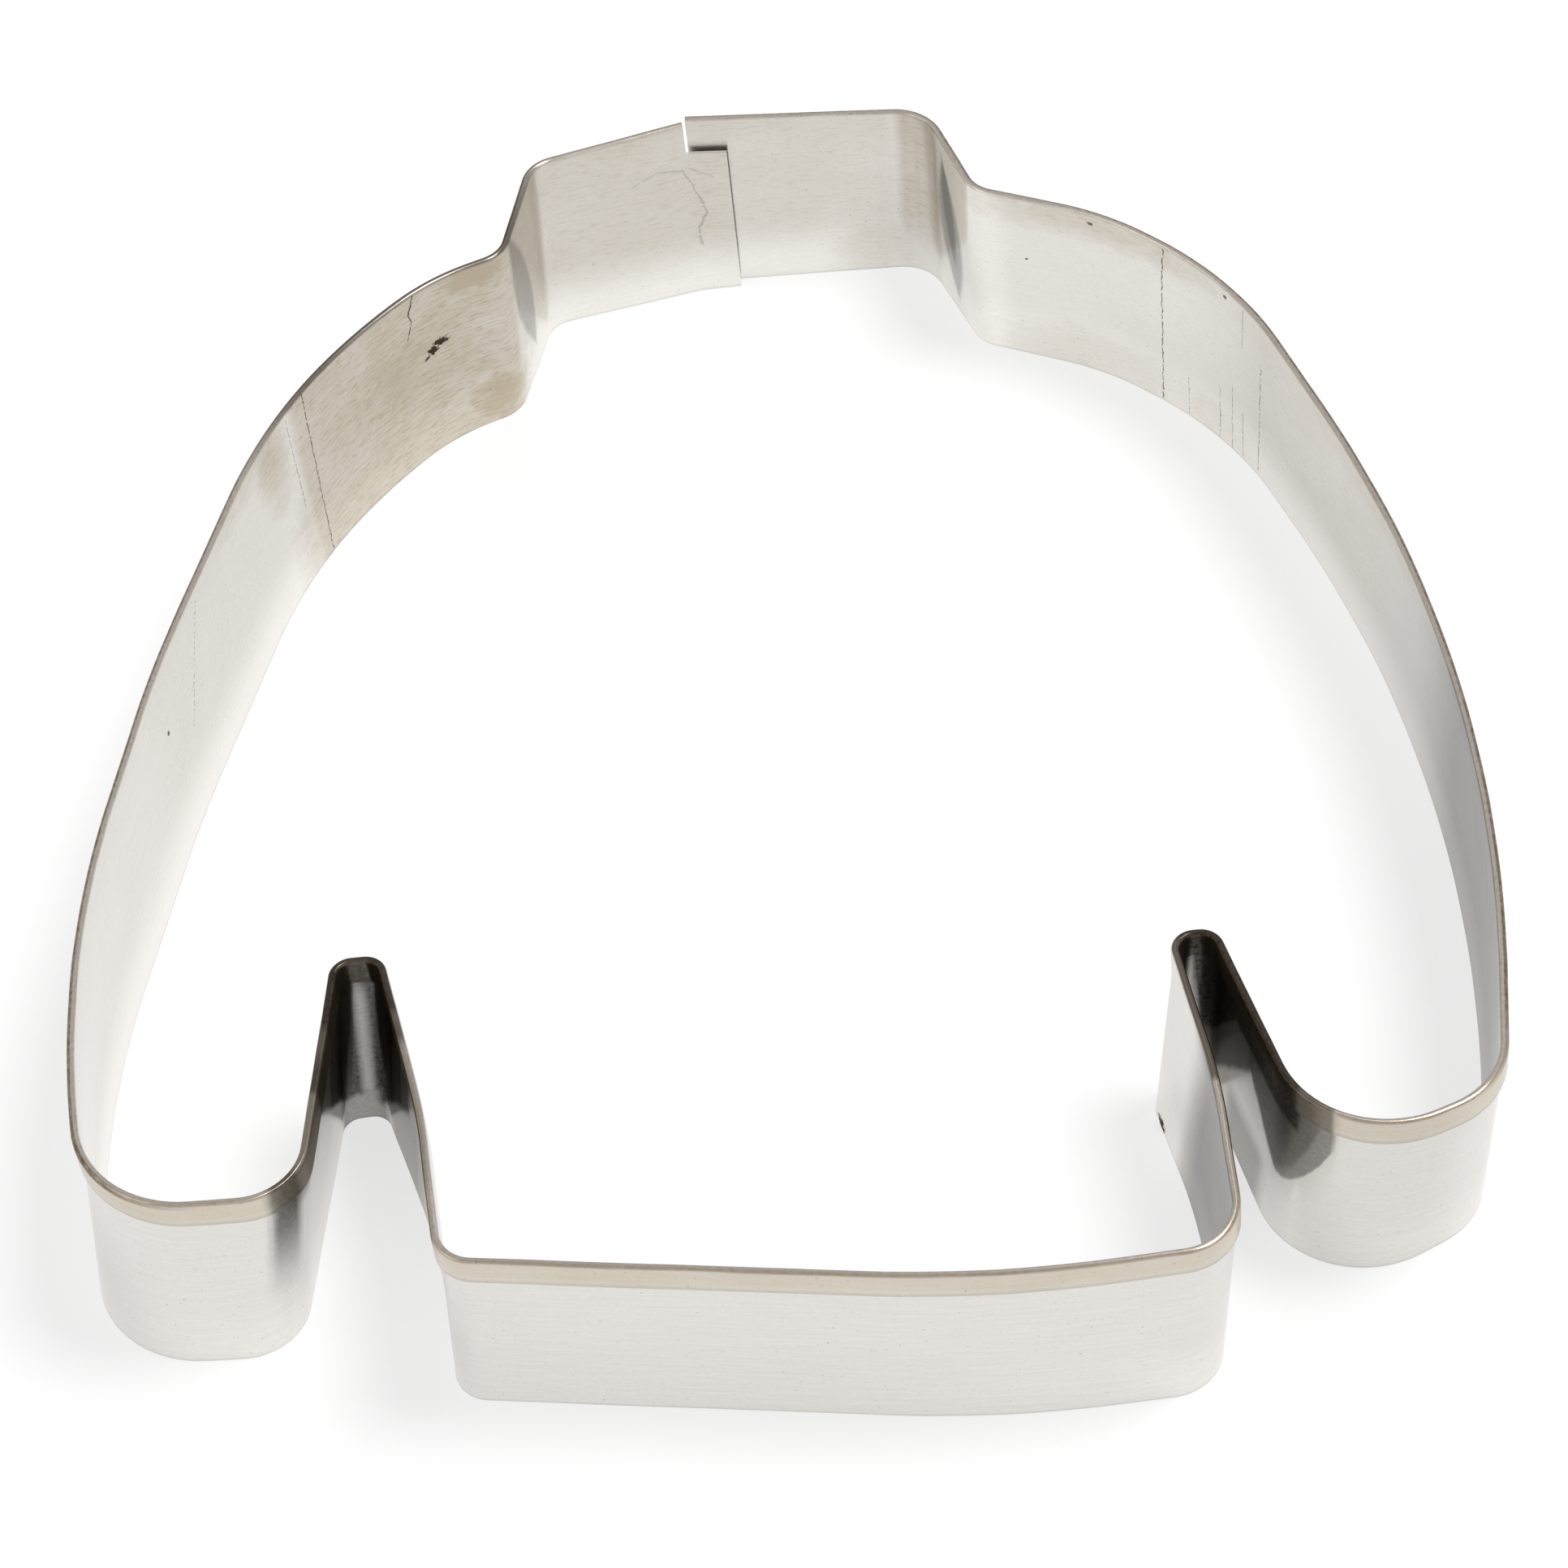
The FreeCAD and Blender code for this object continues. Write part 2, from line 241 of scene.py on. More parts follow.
def stripTree():
    # sweeps a section along a chain of rings and leans the wall towards the foot
    tree = bpy.data.node_groups.new("bentStrip", "GeometryNodeTree")
    panel = tree.interface
    panel.new_socket("Rings", in_out="INPUT", socket_type="NodeSocketGeometry")
    panel.new_socket("Section", in_out="INPUT", socket_type="NodeSocketObject")
    panel.new_socket("Lean Height", in_out="INPUT", socket_type="NodeSocketFloat")
    panel.new_socket("Wave", in_out="INPUT", socket_type="NodeSocketFloat")
    panel.new_socket("Wave Length", in_out="INPUT", socket_type="NodeSocketFloat")
    panel.new_socket("Seed", in_out="INPUT", socket_type="NodeSocketFloat")
    panel.new_socket("Finish", in_out="INPUT", socket_type="NodeSocketMaterial")
    panel.new_socket("Strip", in_out="OUTPUT", socket_type="NodeSocketGeometry")

    def add(kind, settings=None, sockets=None):
        node = tree.nodes.new(kind)
        for key, value in (settings or {}).items():
            setattr(node, key, value)
        for key, value in (sockets or {}).items():
            if isinstance(value, bpy.types.NodeSocket):
                tree.links.new(value, node.inputs[key])
            else:
                node.inputs[key].default_value = value
        return node

    given = add("NodeGroupInput").outputs
    line = add("GeometryNodeMeshToCurve", None, {"Mesh": given["Rings"]})
    upright = add("GeometryNodeSetCurveNormal", {"mode": "Z_UP"}, {"Curve": line.outputs[0]})
    # the hand-bent wave pushes the wall towards the cookie only
    along = add("GeometryNodeInputNamedAttribute", {"data_type": "FLOAT"}, {"Name": "along"})
    scale = add("ShaderNodeMath", {"operation": "DIVIDE"},
                {0: along.outputs[0], 1: given["Wave Length"]})
    shift = add("ShaderNodeMath", {"operation": "ADD"}, {0: scale.outputs[0], 1: given["Seed"]})
    noise = add("ShaderNodeTexNoise", {"noise_dimensions": "1D"},
                {"W": shift.outputs[0], "Scale": 1.0, "Detail": 1.0})
    push = add("ShaderNodeMath", {"operation": "MULTIPLY"},
               {0: noise.outputs[0], 1: given["Wave"]})
    inward = add("GeometryNodeInputNamedAttribute", {"data_type": "FLOAT_VECTOR"},
                 {"Name": "inward"})
    offset = add("ShaderNodeVectorMath", {"operation": "SCALE"},
                 {0: inward.outputs[0], "Scale": push.outputs[0]})
    waved = add("GeometryNodeSetPosition", None,
                {"Geometry": upright.outputs[0], "Offset": offset.outputs[0]})

    section = add("GeometryNodeObjectInfo", None, {"Object": given["Section"]})
    outline = add("GeometryNodeMeshToCurve", None, {"Mesh": section.outputs["Geometry"]})
    swept = add("GeometryNodeCurveToMesh", None,
                {"Curve": waved.outputs[0], "Profile Curve": outline.outputs[0],
                 "Fill Caps": True})

    place = add("GeometryNodeInputPosition")
    height = add("ShaderNodeSeparateXYZ", None, {0: place.outputs[0]})
    share = add("ShaderNodeMapRange", None,
                {0: height.outputs[2], 1: 0.0, 2: given["Lean Height"], 3: 1.0, 4: 0.0})
    lean = add("GeometryNodeInputNamedAttribute", {"data_type": "FLOAT_VECTOR"},
               {"Name": "lean"})
    leaning = add("ShaderNodeVectorMath", {"operation": "SCALE"},
                  {0: lean.outputs[0], "Scale": share.outputs[0]})
    leaned = add("GeometryNodeSetPosition", None,
                 {"Geometry": swept.outputs[0], "Offset": leaning.outputs[0]})
    real = add("GeometryNodeRealizeInstances", None, {0: leaned.outputs[0]})
    finished = add("GeometryNodeSetMaterial", None,
                   {"Geometry": real.outputs[0], "Material": given["Finish"]})
    add("NodeGroupOutput", None, {0: finished.outputs[0]})
    return tree


def sweepStrip(name, rings, section, tree, finish, inputs):
    # one swept length of the strip as a plain mesh object
    modifier = rings.modifiers.new("bentStrip", "NODES")
    modifier.node_group = tree
    sockets = {item.name: item.identifier for item in tree.interface.items_tree
               if item.in_out == "INPUT"}
    modifier[sockets["Section"]] = section
    modifier[sockets["Finish"]] = finish
    for key, value in inputs.items():
        modifier[sockets[key]] = value
    bpy.context.view_layer.update()
    depsgraph = bpy.context.evaluated_depsgraph_get()
    mesh = bpy.data.meshes.new_from_object(rings.evaluated_get(depsgraph))
    mesh.name = name
    piece = bpy.data.objects.new(name, mesh)
    bpy.context.scene.collection.objects.link(piece)
    rings.modifiers.remove(modifier)
    return piece


def buildBand(finish):
    rimRings, counts, hemEnd = bentLine(0)
    footRings, counts, hemEnd = bentLine(1, counts)
    places = [Vector((spot.x, spot.y, 0.0)) * mm for spot in rimRings]
    leans = [Vector((foot.x - rim.x, foot.y - rim.y, 0.0)) * mm
             for rim, foot in zip(rimRings, footRings)]
    lengths = [0.0]
    for before, after in zip(places, places[1:]):
        lengths.append(lengths[-1] + (after - before).length)
    inwards = []
    for number in range(len(places)):
        before, after = places[max(number - 1, 0)], places[min(number + 1, len(places) - 1)]
        ahead = (after - before).normalized()
        inwards.append(Vector((ahead.y, -ahead.x, 0.0)))
    tree = stripTree()
    inputs = {
        "Lean Height": (strip["height"] - strip["notchDepth"]) * mm,
        "Wave": strip["wave"] * mm,
        "Wave Length": strip["waveLength"] * mm,
        "Seed": strip["seed"],
    }
    parts = []
    for name, first, last, hemmed in (("hemmedStrip", 0, hemEnd, True),
                                      ("lappedTongue", hemEnd, len(places) - 1, False)):
        span = slice(first, last + 1)
        values = {
            "along": ("FLOAT", lengths[span]),
            "lean": ("FLOAT_VECTOR", leans[span]),
            "inward": ("FLOAT_VECTOR", inwards[span]),
        }
        chain = chainMesh(name + "Line", places[span], values)
        outline = sectionPoints(hemmed)
        section = chainMesh(name + "Section", [Vector((-x, -y, 0.0)) for x, y in outline],
                            {"across": ("FLOAT", [x for x, y in outline])}, closed=True)
        parts.append(sweepStrip(name, chain, section, tree, finish, inputs))
        bpy.data.objects.remove(chain)
        bpy.data.objects.remove(section)
    return joinSpans("cutterBand", parts, places[hemEnd], inwards[hemEnd], finish)


# where the two spans meet: weld distance, widest and deepest place of the caps, sharp edges
spanWeld = {"reach": 0.02, "capWidth": 3.0, "capDepth": 0.3, "capTurn": 0.9, "sharpDegrees": 38}


def joinSpans(name, parts, seam, inward, finish):
    # opens the two caps where the hem ends, welds the spans and closes what is left of the hole
    shell = bmesh.new()
    for part in parts:
        shell.from_mesh(part.data)
    ahead = Vector((inward.y, -inward.x, 0.0))
    width, depth = spanWeld["capWidth"] * mm, spanWeld["capDepth"] * mm
    caps = [face for face in shell.faces if len(face.verts) > 4
            and all(abs(ahead.dot(corner.co - seam)) < width for corner in face.verts)
            and abs(face.normal.dot(ahead)) > spanWeld["capTurn"]
            and abs(ahead.dot(face.calc_center_median() - seam)) < depth]
    print("caps opened:", len(caps))
    bmesh.ops.delete(shell, geom=caps, context="FACES")
    bmesh.ops.remove_doubles(shell, verts=shell.verts, dist=spanWeld["reach"] * mm)
    rest = [edge for edge in shell.edges if edge.is_boundary]
    print("edges to close:", len(rest))
    bmesh.ops.holes_fill(shell, edges=rest, sides=0)
    bmesh.ops.recalc_face_normals(shell, faces=shell.faces)
    mesh = bpy.data.meshes.new(name)
    shell.to_mesh(mesh)
    loose = sum(1 for edge in shell.edges if not edge.is_manifold)
    print("edges left open:", loose, "volume mm3:", round(shell.calc_volume(signed=True) * 1e9, 1))
    shell.free()
    for part in parts:
        bpy.data.objects.remove(part)
    mesh.materials.append(finish)
    mesh.shade_smooth()
    mesh.set_sharp_from_angle(angle=math.radians(spanWeld["sharpDegrees"]))
    band = bpy.data.objects.new(name, mesh)
    bpy.context.scene.collection.objects.link(band)
    return band


tin = {
    "clean": (0.755, 0.738, 0.705, 1.0),
    "tarnish": (0.46, 0.40, 0.305, 1.0),
    "hemTan": (0.62, 0.555, 0.455, 1.0),
    # rimTintAndShade: brown of the fold, partly its tint and partly painted shade
    "rimTintAndShade": (0.17, 0.115, 0.07, 1.0),
    "stain": (0.05, 0.035, 0.025, 1.0),
    "shadow": (0.016, 0.012, 0.008, 1.0),
    "roughness": 0.26,
    "anisotropy": 0.75,
    "turn": 0.25,           # the grain runs along the strip
    "front": (150.0, 345.0, 6.0),           # the rest is the back
    # shoulder: where the fold's top gets painted shade over its highlight
    "shoulder": (432.0, 472.0, 8.0),        # where the fold's top is dark
}

# noise over the strip: how fine along and up, in turns a millimetre, detail, roughness, offset
noises = {
    "grain": (0.16, 3.4, 4.0, 0.7, 0.0),
    "hairs": (0.7, 4.4, 2.0, 0.6, 5.0),
    "mottle": (0.14, 0.20, 3.0, 0.6, 13.0),
    "smudge": (0.35, 0.5, 3.0, 0.65, 71.0),
    "speckle": (2.2, 3.0, 2.0, 0.5, 41.0),
    "pepper": (3.4, 3.4, 1.0, 0.5, 91.0),
    "streak": (1.3, 0.05, 3.0, 0.6, 23.0),
    "wobble": (1.3, 1.3, 2.0, 0.5, 7.0),
    "ragged": (2.2, 2.6, 2.0, 0.75, 57.0),
}

# lines along the strip: what they are measured from, where they start and where they are full
lines = {
    # paintedFootLight: painted light, the wall lighter towards the foot where it mirrors the floor
    "paintedFootLight": ("foot", 8.0, 1.0),
    # footEdgeAndShadow: the cut edge and painted contact shadow along the foot
    "footEdgeAndShadow": ("foot", 0.35, 0.05),
    "upperWall": ("rim", -5.0, 0.0),
    "hemLow": ("hemEdge", 1.0, 0.2),
    "hemBelow": ("hemEdge", -0.7, -0.1),
    "hemAbove": ("hemEdge", 0.6, 0.1),
    "foldOuter": ("rim", -0.58, -0.34),
    # foldTopShade: painted shade on the fold's top
    "foldTopShade": ("rim", -0.28, -0.08),
    "foldTop": ("rim", -0.14, 0.04),
}

# Places on the strip are given as (length from the outer end, height over the foot), in
# millimetres. Stretches of the cookie side: from, to, fade, warm tarnish, painted shade (the wall
# darker where it mirrors shaded floor; under zero, painted light).
stretches = {
    "neckBackRight": (-9.0, 19.5, 1.5, 0.24, 0.0),
    "neckCornerRight": (19.8, 24.6, 0.7, 0.46, 0.08),
    "neckBackLeft": (472.0, 500.0, 2.0, 0.35, 0.0),
    "collarRight": (29.8, 36.0, 1.5, 0.0, -0.12),
    "yokeRight": (33.0, 62.0, 6.0, 0.08, -0.06),
    "shoulderRight": (62.0, 92.0, 8.0, 0.22, 0.0),
    "sleeveRight": (98.0, 150.0, 18.0, 0.08, 0.36),
    "cuffRight": (108.0, 150.0, 8.0, 0.0, 0.30),
    "sideRight": (200.0, 226.0, 3.0, 0.05, 0.70),
    "leftArm": (398.0, 430.0, 6.0, 0.12, 0.0),
    "neckSideLeft": (464.0, 472.0, 1.0, 0.22, 0.0),
}
leftShoulder = (434.5, 463.2, 1.2, 0.62)

# patches of tarnish on the cookie side, and one of painted shade: length, height, half of each,
# strength
patches = {
    "shoulderHigh": (450.8, 12.5, 13.5, 14.0, 0.80),
    "shoulderLow": (441.0, 4.0, 8.0, 9.0, 0.66),
    "collarFoot": (459.5, 3.0, 4.5, 4.0, 1.0),
    "collarRim": (458.5, 18.8, 4.0, 2.0, 1.0),
    "scratchRim": (430.6, 17.5, 3.0, 6.0, 0.62),
    "armRim": (424.0, 19.4, 9.0, 2.4, 0.34),
    "armSmear": (408.0, 10.0, 9.0, 3.0, 0.18),
    "neckFoot": (480.0, 4.5, 6.0, 2.2, 0.14),
    # neckCornerFootShade: painted shade in the foot of the neck corner, in the tarnish colour
    "neckCornerFootShade": (17.2, 3.5, 4.0, 4.5, 0.34),
    "neckRim": (4.0, 18.8, 13.0, 2.2, 0.34),
    "neckRimLeft": (481.0, 19.0, 7.0, 2.0, 0.42),
    "yokeRim": (46.0, 19.2, 15.0, 2.6, 0.46),
    "yokeFoot": (44.5, 2.2, 9.0, 3.6, 0.24),
    "shoulderFoot": (58.5, 1.8, 6.0, 3.2, 0.22),
    "sleeveRim": (84.0, 19.4, 16.0, 2.4, 0.36),
}

# small black specks: length, height, half of each, strength
specks = {
    "shoulderMain": (454.3, 12.8, 0.80, 0.42, 1.0),
    "shoulderLow": (453.4, 12.2, 0.60, 0.45, 1.0),
    "shoulderDot": (452.6, 11.6, 0.30, 0.22, 0.9),
    "armSpot": (401.3, 13.3, 0.30, 0.26, 0.85),
    "rimNear": (44.7, 18.9, 0.26, 0.20, 0.8),
    "rimFar": (60.6, 19.0, 0.22, 0.20, 0.8),
    "yokeDot": (38.2, 12.5, 0.14, 0.14, 0.7),
    "footBurr": (192.8, 0.4, 1.2, 0.55, 1.0),
}

# painted dark reflections, lens-shaped, in the two neck corners: length, height, slope, half of
# each, strength
cornerReflections = {
    "right": (27.3, 9.6, -0.15, 2.5, 8.4, 0.46),
    "rightCore": (27.0, 12.0, -0.15, 1.4, 7.0, 0.30),
    "rightHair": (24.2, 14.0, 0.0, 0.35, 7.0, 0.25),
    "rightHairFar": (21.6, 12.0, 0.0, 0.30, 8.0, 0.12),
    "left": (465.5, 11.6, -0.27, 2.5, 9.2, 0.44),
}

# painted dark reflections and shade on stretches of the outer face: from, to, fade, height where
# the dark starts, its softness (a softness under zero darkens what is below), share of the
# brightness lost
darkBands = {
    "rightTip": (185.2, 189.3, 0.5, -3.0, 3.0, 0.42),
    "rightTipTop": (185.6, 189.4, 0.5, 17.6, 0.8, 0.70),
    "rightWallFar": (188.4, 204.0, 0.5, 3.0, 3.0, 0.80),
    "rightCuffFoot": (172.5, 181.5, 1.6, 6.0, -1.6, 0.44),
    "rightCuffFront": (156.0, 166.4, 2.0, -6.0, 2.0, 0.08),
    "leftTipFoot": (307.5, 312.9, 0.5, -3.0, 3.0, 0.60),
    "leftWallInner": (294.0, 307.6, 3.0, 13.0, -5.0, 0.48),
    "leftSideHem": (284.0, 301.0, 3.0, 12.5, 4.5, 0.34),
    "leftWallOuter": (322.0, 333.0, 1.5, 16.2, 1.4, 0.62),
    "leftCuffBand": (332.3, 335.1, 0.7, 11.0, 5.5, 0.84),
}

# painted dark reflections, lobes with a curved lower edge: length and height of the lowest point,
# rise before it and its power, rise after it, highest the edge goes, from, to, fade, share
lobes = {
    "rightLobe": (170.5, 7.2, 0.30, 2.0, 0.75, 20.0, 165.6, 177.6, 0.3, 0.62),
    "rightLobeDeep": (171.0, 7.6, 0.5, 2.0, 0.75, 20.0, 166.8, 177.6, 0.9, 0.45),
    "rightCore": (185.5, 8.5, 1.3, 1.0, 0.1, 14.4, 168.9, 188.9, 0.4, 0.90),
    "rightNear": (185.0, 4.3, 1.0, 1.0, 0.5, 20.0, 177.2, 188.4, 0.6, 0.74),
    "leftPlate": (312.0, 3.0, 0.05, 2.0, 1.07, 20.0, 308.0, 325.0, 0.5, 0.84),
    "leftPlateDeep": (312.4, 3.4, 1.5, 2.0, 1.07, 20.0, 312.3, 318.6, 0.6, 0.93),
    "leftInner": (308.2, 1.8, 0.85, 1.0, 0.1, 20.0, 302.4, 308.7, 0.6, 0.95),
    "leftInnerFar": (308.2, 2.0, 0.80, 1.0, 0.0, 20.0, 299.2, 303.0, 0.9, 0.74),
}

# painted reflections that stay light on the notch tips: length at the foot, slope, half width,
# from height, to height, share of the brightness left
tipReflections = {
    "left": (309.45, 0.06, 0.62, 2.0, 16.6, 0.46),
    "right": (186.2, 0.12, 0.42, 4.5, 17.8, 0.50),
}

# marks on the cookie side: from and to (length, height), half width, strength, breaks
scratches = {
    "rightLong": (52.6, 19.6, 51.5, 0.3, 0.055, 0.75, 0.2),
    "rightShort": (66.3, 15.0, 65.6, 0.6, 0.055, 0.75, 0.4),
    "rightFootA": (55.0, 5.0, 54.9, 0.3, 0.04, 0.5, 0.4),
    "rightFootB": (59.5, 7.0, 59.3, 0.3, 0.04, 0.55, 0.3),
    "rightFootC": (61.4, 8.5, 61.2, 0.3, 0.045, 0.55, 0.3),
    "rightFootD": (63.0, 6.0, 62.9, 0.4, 0.045, 0.6, 0.3),
    "rightHigh": (63.3, 19.5, 63.1, 14.5, 0.045, 0.55, 0.3),
    "leftLong": (436.9, 19.8, 436.6, 0.4, 0.06, 0.8, 0.25),
    "leftShort": (434.0, 19.2, 434.0, 8.0, 0.045, 0.55, 0.4),
    "leftDashes": (412.1, 18.7, 406.4, 9.0, 0.06, 0.6, 0.55),
    "crackTop": (452.1, 19.9, 451.3, 18.0, 0.07, 0.95, 0.0),
    "crackMiddle": (451.3, 18.0, 451.5, 17.0, 0.06, 0.9, 0.0),
    "crackFoot": (451.5, 17.0, 450.8, 15.2, 0.055, 0.85, 0.1),
    "squiggleA": (482.0, 14.2, 484.6, 15.1, 0.09, 0.17, 0.1),
    "squiggleB": (484.6, 15.1, 487.0, 14.6, 0.09, 0.20, 0.1),
    "squiggleC": (487.0, 14.6, 488.0, 12.4, 0.09, 0.22, 0.0),
    "squiggleD": (488.0, 12.4, 489.0, 9.4, 0.09, 0.25, 0.1),
    "squiggleE": (489.0, 9.4, 488.1, 7.6, 0.12, 0.28, 0.0),
    "squiggleF": (488.1, 7.6, 488.2, 5.6, 0.12, 0.24, 0.1),
    "squiggleG": (487.2, 14.9, 489.9, 13.6, 0.08, 0.20, 0.2),
}


class StripPaint(Paint):
    # a paint that knows where it is on the strip
    def __init__(self, name):
        super().__init__(name)
        place = self.node("ShaderNodeTexCoord", out=3)
        rise = self.node("ShaderNodeSeparateXYZ", None, {0: place}, out=2)
        self.height = rise * 1000.0
        self.length = self.attribute("along")
        self.across = self.attribute("across")
        self.spot = self.node("ShaderNodeCombineXYZ", None, {0: self.length, 1: self.height})
        self.cookieSide = self.step(self.across, 0.12, 0.06)
        self.outerSide = 1.0 - self.cookieSide

    def attribute(self, name):
        return self.node("ShaderNodeAttribute", {"attribute_name": name}, out=2) * 1000.0

    def noise(self, name):
        along, up, detail, roughness, offset = noises[name]
        spot = self.node("ShaderNodeCombineXYZ", None,
                         {0: self.length * along + offset, 1: self.height * up,
                          2: self.across * 3.0})
        return self.node("ShaderNodeTexNoise", None,
                         {"Vector": spot, "Scale": 1.0, "Detail": detail,
                          "Roughness": roughness})

    def line(self, name, wave=0.0):
        base, start, full = lines[name]
        height = {"foot": 0.0, "rim": strip["height"],
                  "hemEdge": strip["height"] - strip["hemDepth"]}[base]
        return self.step(self.height + wave if wave else self.height, height + start, height + full)

    def within(self, value, start, end, fade):
        # 1 between start and end, fading out over the given length at both
        opening = self.step(value, start - fade, start + fade)
        return opening * self.step(value, end + fade, end - fade)

    def patch(self, wobble, place, soft):
        middle, level, halfLength, halfHeight, strength = place
        offset = self.vector("SUBTRACT", self.spot, (middle, level, 0.0))
        offset = self.vector("MULTIPLY", offset, (1.0 / halfLength, 1.0 / halfHeight, 0.0))
        away = self.vector("LENGTH", offset, out=1) + wobble
        return self.step(away, 0.95 + soft, 0.95 - soft, strength)

    def lens(self, place):
        # widest at its level, running out to a point above and below
        middle, level, slope, halfLength, halfHeight, strength = place
        up = self.height - level
        dz = up * (1.0 / halfHeight)
        width = (1.0 - dz * dz) * halfLength
        return self.step(abs(self.length - up * slope - middle) - width, 0.25, -0.75, strength)

    def stroke(self, wobble, place):
        # a drawn line from one place to another, fading past its half width
        fromLength, fromHeight, toLength, toHeight, half, strength, breaks = place
        run = Vector((toLength - fromLength, toHeight - fromHeight, 0.0))
        offset = self.vector("SUBTRACT", self.wavySpot, (fromLength, fromHeight, 0.0))
        share = self.vector("DOT_PRODUCT", offset, run / run.dot(run), out=1)
        share = self.node("ShaderNodeClamp", None, {0: share})
        nearest = self.vector("SCALE", run, scale=share)
        away = self.vector("DISTANCE", offset, nearest, out=1)
        line = self.step(away * wobble, half * 1.6, half * 0.5, strength)
        if breaks:
            line = line * self.step(self.gaps, 0.25 + 0.4 * breaks, 0.32 + 0.4 * breaks)
        return line


def tarnishAndShadeOf(paint, mottle, grain, paintedFootLight):
    # warm tarnish of the cookie side, and its painted shade and light where it mirrors the floor
    warm, dull = 0.05, 0.0
    for start, end, fade, tarnish, dullness in stretches.values():
        here = paint.within(paint.length, start, end, fade)
        warm = here * tarnish + warm
        if dullness:
            dull = here * dullness + dull
    # painted light: less tarnish towards the foot
    warm = warm * (1.0 - paintedFootLight * 0.9)
    start, end, fade, tarnish = leftShoulder
    warm = warm.highest(paint.within(paint.length, start, end, fade) * tarnish)
    smudge = paint.noise("smudge") - 0.5
    for place in patches.values():
        warm = warm.highest(paint.patch(smudge, place, 0.75))
    hairs = paint.step(paint.noise("hairs"), 0.52, 0.64)
    rough = (mottle - 0.5) * 0.8 + (grain - 0.5) * 1.4 + hairs * 0.45
    warm = warm * (1.0 + rough) + paint.line("upperWall") * 0.04
    # painted reflections: dark lens shapes in the neck corners add to the painted shade
    for place in cornerReflections.values():
        dull = dull + paint.lens(place)
    return paint.cookieSide * paint.node("ShaderNodeClamp", None, {0: warm}), dull


def paintedNotchReflections(paint, speckle):
    # painted reflections: the walls of a notch mirror each other; the share of the tin's brightness
    # that is lost
    streak = paint.noise("streak") - 0.5
    left = 1.0
    for start, end, fade, lowest, soft, share in darkBands.values():
        band = paint.within(paint.length + streak, start, end, fade)
        band = band * paint.step(paint.height, lowest - soft, lowest + soft)
        left = left * (1.0 - band * share)
    for middle, foot, before, power, after, top, start, end, fade, share in lobes.values():
        nearer = (middle - paint.length).highest(0.0)
        farther = (paint.length - middle).highest(0.0)
        edge = (nearer ** power * before + farther * after + foot).lowest(top)
        lobe = paint.step(paint.height + streak * 0.8 - edge, -fade, fade)
        lobe = lobe * paint.within(paint.length + streak * 0.4, start, end, fade)
        left = left * (1.0 - lobe * share)
    for place, slope, half, start, end, share in tipReflections.values():
        away = abs(paint.length - paint.height * slope - place)
        light = paint.step(away, half * 1.9, 0.0, share)
        light = light * paint.within(paint.height + streak * 2.0, start, end, 2.0)
        left = left.highest(light)
    return paint.outerSide * (1.0 - left) * (1.05 - speckle * 0.22)


def marksOf(paint):
    wobble = paint.noise("wobble")
    ragged = paint.noise("ragged") * 2.6 - 1.3
    paint.wavySpot = paint.node("ShaderNodeCombineXYZ", None,
                                {0: paint.length + wobble * 0.5 - 0.25, 1: paint.height})
    paint.gaps = paint.node("ShaderNodeTexNoise", {"noise_dimensions": "1D"},
                            {"W": paint.height * 2.3 + paint.length * 1.7,
                             "Scale": 1.0, "Detail": 1.0})
    masks = [paint.stroke(wobble + 0.5, place) for place in scratches.values()]
    masks += [paint.patch(ragged, place, 0.25) for place in specks.values()]
    marks = masks[0]
    for mask in masks[1:]:
        marks = marks.highest(mask)
    return marks * paint.cookieSide


